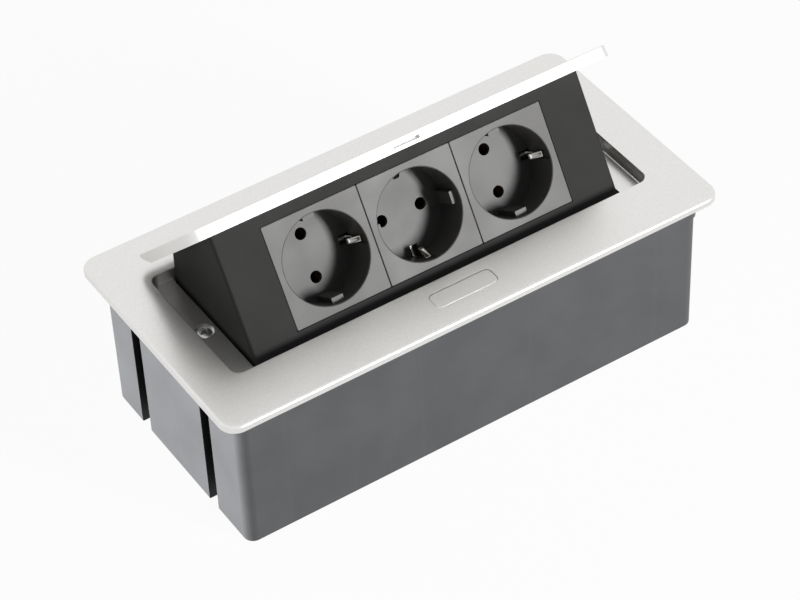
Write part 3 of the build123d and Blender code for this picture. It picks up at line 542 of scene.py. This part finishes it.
# Latch springs: seven turns each, between the guide's front wall and the ears
low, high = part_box("latch_springs")
LATCH_WIRE = 0.5 * MM
LATCH_TURNS = 7
LATCH_STEPS = 14
latch_radius = (high.z - low.z) / 2 - LATCH_WIRE / 2
latch_length = high.y - low.y - LATCH_WIRE
latch_coil = coil(LATCH_WIRE, latch_radius, LATCH_TURNS, latch_length, "Y", LATCH_STEPS)
edit(latch_coil)
for end in (0, latch_length):
    pick_ring(Vector((0, end, latch_radius)), LATCH_WIRE)
    bpy.ops.mesh.edge_face_add()
done()
spring_x = high.x - latch_radius - LATCH_WIRE / 2
spring_y = low.y + LATCH_WIRE / 2
spring_z = (low.z + high.z) / 2
pair = []
for side in (-1, 1):
    spot = Vector((side * spring_x, spring_y, spring_z))
    pair.append(copy(latch_coil, Matrix.Translation(spot)))
bpy.data.objects.remove(latch_coil)
springs = outward(joined(pair, "wound_latch_springs"))
finish(springs, spring_wire, 60)
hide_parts("latch_springs")
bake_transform(springs)

# Frame screws: domed head with a cross recess, ribbed shank for the thread
HEAD = 6.9 * MM
HEAD_HEIGHT = 1.9 * MM
DOME_HEIGHT = 1.1 * MM
DOME_RINGS = 7
SHANK = 3.9 * MM
SHANK_LENGTH = 16 * MM
THREAD_PITCH = 1.6 * MM
THREAD_ROOT = 0.78
TIP_SHARE = 0.4
CROSS_SPAN = 4.7 * MM
CROSS_WIDTH = 1.2 * MM
CROSS_DEPTH = 1.7 * MM
CROSS_FOOT = 0.55
CROSS_ROUND = 0.14 * MM

# How far the driver left each cross turned
CROSS_TURNS = (radians(24), radians(-52))

# The recess's edge on the dome: how far out it goes, as a share of the head's
# radius, how far below the dome a corner may lie, and the least angle of a fold
EDGE_REACH = 0.8
EDGE_PLAY = 0.12 * MM
EDGE_FOLD = 0.6


def cross_cutter():
    """A tapered cross that cuts the recess of a screw's head."""
    blades = []
    for turn in (0, pi / 2):
        bpy.ops.mesh.primitive_cube_add(size=1, location=(0, 0, HEAD_HEIGHT))
        blade = bpy.context.object
        blade.scale = (CROSS_SPAN, CROSS_WIDTH, 2 * CROSS_DEPTH)
        blade.rotation_euler.z = turn
        settle(blade)
        edit(blade)
        pick("FACE", lambda f: f.normal.z < -0.9)
        bpy.ops.transform.resize(value=(CROSS_FOOT, CROSS_FOOT, 1))
        blades.append(done())
    return blades


def on_recess_edge(edge):
    """True for the edges where the cross cuts the dome."""
    for vert in edge.verts:
        share = vert.co.xy.length / (HEAD / 2)
        below = DOME_HEIGHT * (1 - sqrt(max(0, 1 - share * share)))
        if share > EDGE_REACH or vert.co.z < HEAD_HEIGHT - below - EDGE_PLAY:
            return False
    return edge.calc_face_angle(0) > EDGE_FOLD


def frame_screw():
    """One screw with its seat at the origin, head upward."""
    rim = HEAD_HEIGHT - DOME_HEIGHT
    bpy.ops.mesh.primitive_cylinder_add(
        vertices=48, radius=HEAD / 2, depth=rim, location=(0, 0, rim / 2)
    )
    screw = settle(bpy.context.object)
    edit(screw)
    pick("FACE", lambda f: f.normal.z > 0.9)
    for ring in range(1, DOME_RINGS):
        last, now = ((ring - i) * pi / 2 / DOME_RINGS for i in (1, 0))
        rise = DOME_HEIGHT * (sin(now) - sin(last))
        shrink = cos(now) / cos(last)
        bpy.ops.mesh.extrude_region_move(TRANSFORM_OT_translate={"value": (0, 0, rise)})
        bpy.ops.transform.resize(value=(shrink, shrink, 1))
    pick("FACE", lambda f: f.normal.z < -0.9 and f.calc_center_median().z < 0.1 * MM)
    bpy.ops.mesh.inset(thickness=(HEAD - SHANK) / 2)
    thread = int(SHANK_LENGTH / THREAD_PITCH)
    for _ in range(thread):
        for width in (THREAD_ROOT, 1 / THREAD_ROOT):
            bpy.ops.mesh.extrude_region_move(
                TRANSFORM_OT_translate={"value": (0, 0, -SHANK_LENGTH / thread / 2)}
            )
            bpy.ops.transform.resize(value=(width, width, 1))
    bpy.ops.transform.resize(value=(TIP_SHARE, TIP_SHARE, 1))
    done()
    cutters = cross_cutter()
    for cutter in cutters:
        apply(screw, "BOOLEAN", operation="DIFFERENCE", object=cutter, solver="EXACT")
    for cutter in cutters:
        bpy.data.objects.remove(cutter)
    edit(screw)
    pick("EDGE", on_recess_edge)
    round_over(CROSS_ROUND, 2)
    return done()


low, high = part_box("frame_screws")
screw = frame_screw()
screw_x = high.x - (high.y - low.y) / 2
pair = []
for side, turn in zip((-1, 1), CROSS_TURNS):
    spot = Matrix.Translation((side * screw_x, 0, high.z - HEAD_HEIGHT))
    pair.append(copy(screw, spot @ Matrix.Rotation(turn, 4, "Z")))
bpy.data.objects.remove(screw)
screws = joined(pair, "cross_head_frame_screws")
finish(screws, screw_steel, 40)
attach(screws, "base")
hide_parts("frame_screws")

# Earth clips: a strip folded at the nose, its sloping lead pressed in.
# The path is in mm: across the well, and in from its face.
FACE_MIDDLE = mm(0, -14.6, 91.95)
FACE_TILT = radians(32.6)
PITCH = 45 * MM
CLIP_WIDTH = 2.4 * MM
CLIP_THICK = 0.6 * MM
CLIP_PATH = [(-19.5, -6.4), (-14.9, -11.2), (-19.7, -13.2), (-19.75, -20.15), (0, -20.15)]
CLIP_BENDS = (1.2, 1.0, 0.7)
CLIP_NECK = 0.45
FOLD_STEPS = 5
STRIP_ROUND = 0.08 * MM
TAIL = mm(0, 0, -22.75)

# The panel pressed into each lead, and the reach in mm and least area by which
# its face is found. Plugs rub the nose within its reach.
PANEL_EDGE = 0.75 * MM
PANEL_DEPTH = 0.3 * MM
PANEL_REACH = 1.5
PANEL_LEAST = 5 * MM * MM
RUBBED_REACH = 1.7 * MM


def before(x, turn):
    """The place of a socket's face, with its own turn on it."""
    upright = Matrix.Rotation(radians(90) - FACE_TILT, 4, "X")
    spot = Matrix.Translation(FACE_MIDDLE + Vector((x, 0, 0)))
    return spot @ upright @ Matrix.Rotation(turn, 4, "Z")


def pick_fold(point):
    """Selects the strip's cross line at a point of its path."""
    here = mm(point[0], 0, point[1])
    pick("EDGE", lambda e: (middle(e) - here).length < 0.01 * MM)


def half_clip():
    """The left half of an earth bracket: lead, nose, arm and bar."""
    bpy.ops.mesh.primitive_plane_add(size=1)
    strip = bpy.context.object
    edit(strip)
    (x0, z0), (x1, z1) = CLIP_PATH[:2]
    mesh = bmesh.from_edit_mesh(strip.data)
    for vert in mesh.verts:
        x, z = (x0, z0) if vert.co.x < 0 else (x1, z1)
        vert.co = Vector((x * MM, CLIP_WIDTH / 2 * (1 if vert.co.y > 0 else -1), z * MM))
    bmesh.update_edit_mesh(strip.data)
    widths = (CLIP_NECK, 1, 1 / CLIP_NECK)
    for fold, following, width in zip(CLIP_PATH[1:], CLIP_PATH[2:], widths):
        run = mm(following[0] - fold[0], 0, following[1] - fold[1])
        pick_fold(fold)
        bpy.ops.mesh.extrude_region_move(TRANSFORM_OT_translate={"value": run})
        bpy.ops.transform.resize(value=(1, width, 1))
    for fold, bend in zip(CLIP_PATH[1:], CLIP_BENDS):
        pick_fold(fold)
        round_over(bend * MM, FOLD_STEPS)
    return done()


def soften(piece):
    """Takes the sharpness off a stamped strip's edges."""
    limit = {"limit_method": "ANGLE", "angle_limit": radians(60)}
    return apply(piece, "BEVEL", width=STRIP_ROUND, segments=2, **limit)


def on_lead(face):
    """True for the outer faces of the two sloping leads."""
    (x0, z0), (x1, z1) = CLIP_PATH[:2]
    at = face.calc_center_median() / MM
    off = (abs(at.x) + (x0 + x1) / 2, at.z - (z0 + z1) / 2)
    near = all(abs(distance) < PANEL_REACH for distance in off)
    return near and face.normal.z > 0.5 and face.calc_area() > PANEL_LEAST


def on_nose(point):
    """True near either nose, in a socket's own frame."""
    nose = mm(-CLIP_PATH[1][0], 0, CLIP_PATH[1][1])
    return (Vector((abs(point.x), 0, point.z)) - nose).length < RUBBED_REACH


def earth_bracket():
    """One bracket in its socket's own frame, both clips and the tail."""
    left = half_clip()
    right = copy(left, Matrix.Scale(-1, 4, Vector((1, 0, 0))))
    bracket = outward(joined([left, right], "bracket"))
    apply(bracket, "SOLIDIFY", thickness=CLIP_THICK, offset=0)
    edit(bracket)
    pick("FACE", on_lead)
    bpy.ops.mesh.inset(thickness=PANEL_EDGE, depth=-PANEL_DEPTH)
    done()
    soften(bracket)
    bar_z = CLIP_PATH[-1][1] * MM
    bpy.ops.mesh.primitive_cube_add(size=1, location=(0, 0, bar_z + TAIL.z / 2))
    tail = bpy.context.object
    tail.scale = (CLIP_THICK, CLIP_WIDTH, -TAIL.z)
    settle(tail)
    soften(tail)
    return joined([bracket, tail], "bracket")


bracket = earth_bracket()
for name, x, turn in (("left", -PITCH, 0), ("middle", 0, pi / 2), ("right", PITCH, 0)):
    made = copy(bracket, before(x, turn))
    made.name = made.data.name = f"folded_earth_clips_{name}"
    finish(made, nickel, 30)
    made.data.materials.append(rubbed_nickel)
    for face in made.data.polygons:
        face.material_index = int(on_nose(before(x, turn).inverted() @ face.center))
    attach(made, "flip_module")
    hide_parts(f"earth_bracket_{name}")
bpy.data.objects.remove(bracket)

# CAD pieces that are shown as they are, with their finish
dressed = {
    frame_silver: ["frame"],
    lid_silver: ["lid"],
    button_silver: ["button"],
    tub_grey: ["housing"],
    charcoal: ["module_front", "module_rear_cover"],
    carrier_black: ["latch_bolt", "latch_guide"],
    screw_steel: [
        "hinge_pin_left",
        "hinge_pin_right",
        "lid_screws",
        "cover_screws",
        "socket_screws",
        "latch_screws",
    ],
    nickel: ["earth_rail"],
    wire_brown: ["live_links"],
    wire_blue: ["neutral_links"],
    bush_rubber: ["cable_bush"],
}
for where in ("left", "middle", "right"):
    dressed.setdefault(socket_grey, []).append(f"socket_insert_{where}")
    dressed[carrier_black].append(f"socket_base_{where}")
    # the contacts take the brass darkened with painted shade
    contacts = [f"live_contact_{where}", f"neutral_contact_{where}"]
    dressed.setdefault(shaded_brass, []).extend(contacts)
for material, names in dressed.items():
    for name in names:
        mesh = node[name].data
        mesh.materials.clear()
        mesh.materials.append(material)

# Studio


def background(tree):
    """1 for the rays that see the backdrop: the camera's, mirrored or through glass."""
    rays = add(tree, "ShaderNodeLightPath").outputs
    seen = rays["Is Camera Ray"]
    for ray in ("Is Glossy Ray", "Is Transmission Ray"):
        seen = add(tree, "ShaderNodeMath", {0: seen, 1: rays[ray]}, operation="MAXIMUM")
    return seen


# White paper sweep, which keeps a share of its real light for the shadow
FLOOR_SIZE = 8.0
FLOOR_GAP = 0.2 * MM
SHADOW_SHARE = 0.045

bpy.ops.mesh.primitive_plane_add(size=FLOOR_SIZE, location=(0, 0, -FLOOR_GAP))
floor = bpy.context.object
floor.name = "studio_floor"
paper = bpy.data.materials.new("white_paper_sweep")
paper.use_nodes = True
tree = paper.node_tree
tree.nodes.clear()
seen = {0: background(tree), 1: 1 - SHADOW_SHARE}
share = add(tree, "ShaderNodeMath", seen, operation="MULTIPLY")
matt = add(tree, "ShaderNodeBsdfDiffuse", {"Color": linear("#f4f4f3")})
white = add(tree, "ShaderNodeEmission", {"Color": (1, 1, 1, 1), "Strength": 1.0})
mixed = add(tree, "ShaderNodeMixShader", {0: share, 1: matt, 2: white})
add(tree, "ShaderNodeOutputMaterial", {"Surface": mixed})
floor.data.materials.append(paper)

# Tent round the object: white where it is seen, dim as a light
SKY_LEVEL = 0.1
world = bpy.data.worlds.new("studio_tent")
bpy.context.scene.world = world
world.use_nodes = True
tree = world.node_tree
tree.nodes.clear()
soft = add(tree, "ShaderNodeBackground", {"Color": (1, 1, 1, 1), "Strength": SKY_LEVEL})
bright = add(tree, "ShaderNodeBackground", {"Color": (1, 1, 1, 1), "Strength": 1.0})
sky = add(tree, "ShaderNodeMixShader", {0: background(tree), 1: soft, 2: bright})
add(tree, "ShaderNodeOutputWorld", {"Surface": sky})


def softbox(name, place, aim, width, height, power):
    """A soft lamp, upright and square to a point that it looks at."""
    light = bpy.data.lights.new(name, "AREA")
    light.shape = "RECTANGLE"
    light.size = width
    light.size_y = height
    light.energy = power
    lamp = bpy.data.objects.new(name, light)
    bpy.context.collection.objects.link(lamp)
    lamp.location = place
    lamp.rotation_euler = (Vector(aim) - Vector(place)).to_track_quat("-Z", "Y").to_euler()
    return lamp


# Low key from the front right, and a side lamp that lights the tub alone
softbox(
    "key_softbox",
    place=(0.62, -1.39, 0.56),
    aim=(0, 0, 0.08),
    width=0.24,
    height=0.5,
    power=22.5,
)
side = softbox(
    "tub_softbox",
    place=(-1.1, 0.5, 0.25),
    aim=(-0.1, 0, 0.04),
    width=0.6,
    height=0.6,
    power=44,
)
lit = bpy.data.collections.new("tub_softbox_lights")
lit.objects.link(node["housing"])
side.light_linking.receiver_collection = lit

# Camera at the photograph's place, a long lens tipped slightly to one side
CAMERA_PLACE = mm(-493.4, -796.6, 906.9)
AZIMUTH = radians(31.639)
DOWN = radians(42.986)
ROLL = radians(-2.743)
FOCAL_PIXELS = 3041.3
IMAGE_WIDTH = 800
SENSOR = 36

lens = bpy.data.cameras.new("camera")
lens.sensor_width = SENSOR
lens.lens = FOCAL_PIXELS * SENSOR / IMAGE_WIDTH
lens.clip_start = 0.05
camera = bpy.data.objects.new("camera", lens)
bpy.context.collection.objects.link(camera)
look = Vector((sin(AZIMUTH) * cos(DOWN), cos(AZIMUTH) * cos(DOWN), -sin(DOWN)))
camera.location = CAMERA_PLACE
level = look.to_track_quat("-Z", "Y").to_matrix()
camera.rotation_euler = (level @ Matrix.Rotation(ROLL, 3, "Z")).to_euler()
bpy.context.scene.camera = camera
bpy.context.scene.view_settings.view_transform = "Standard"
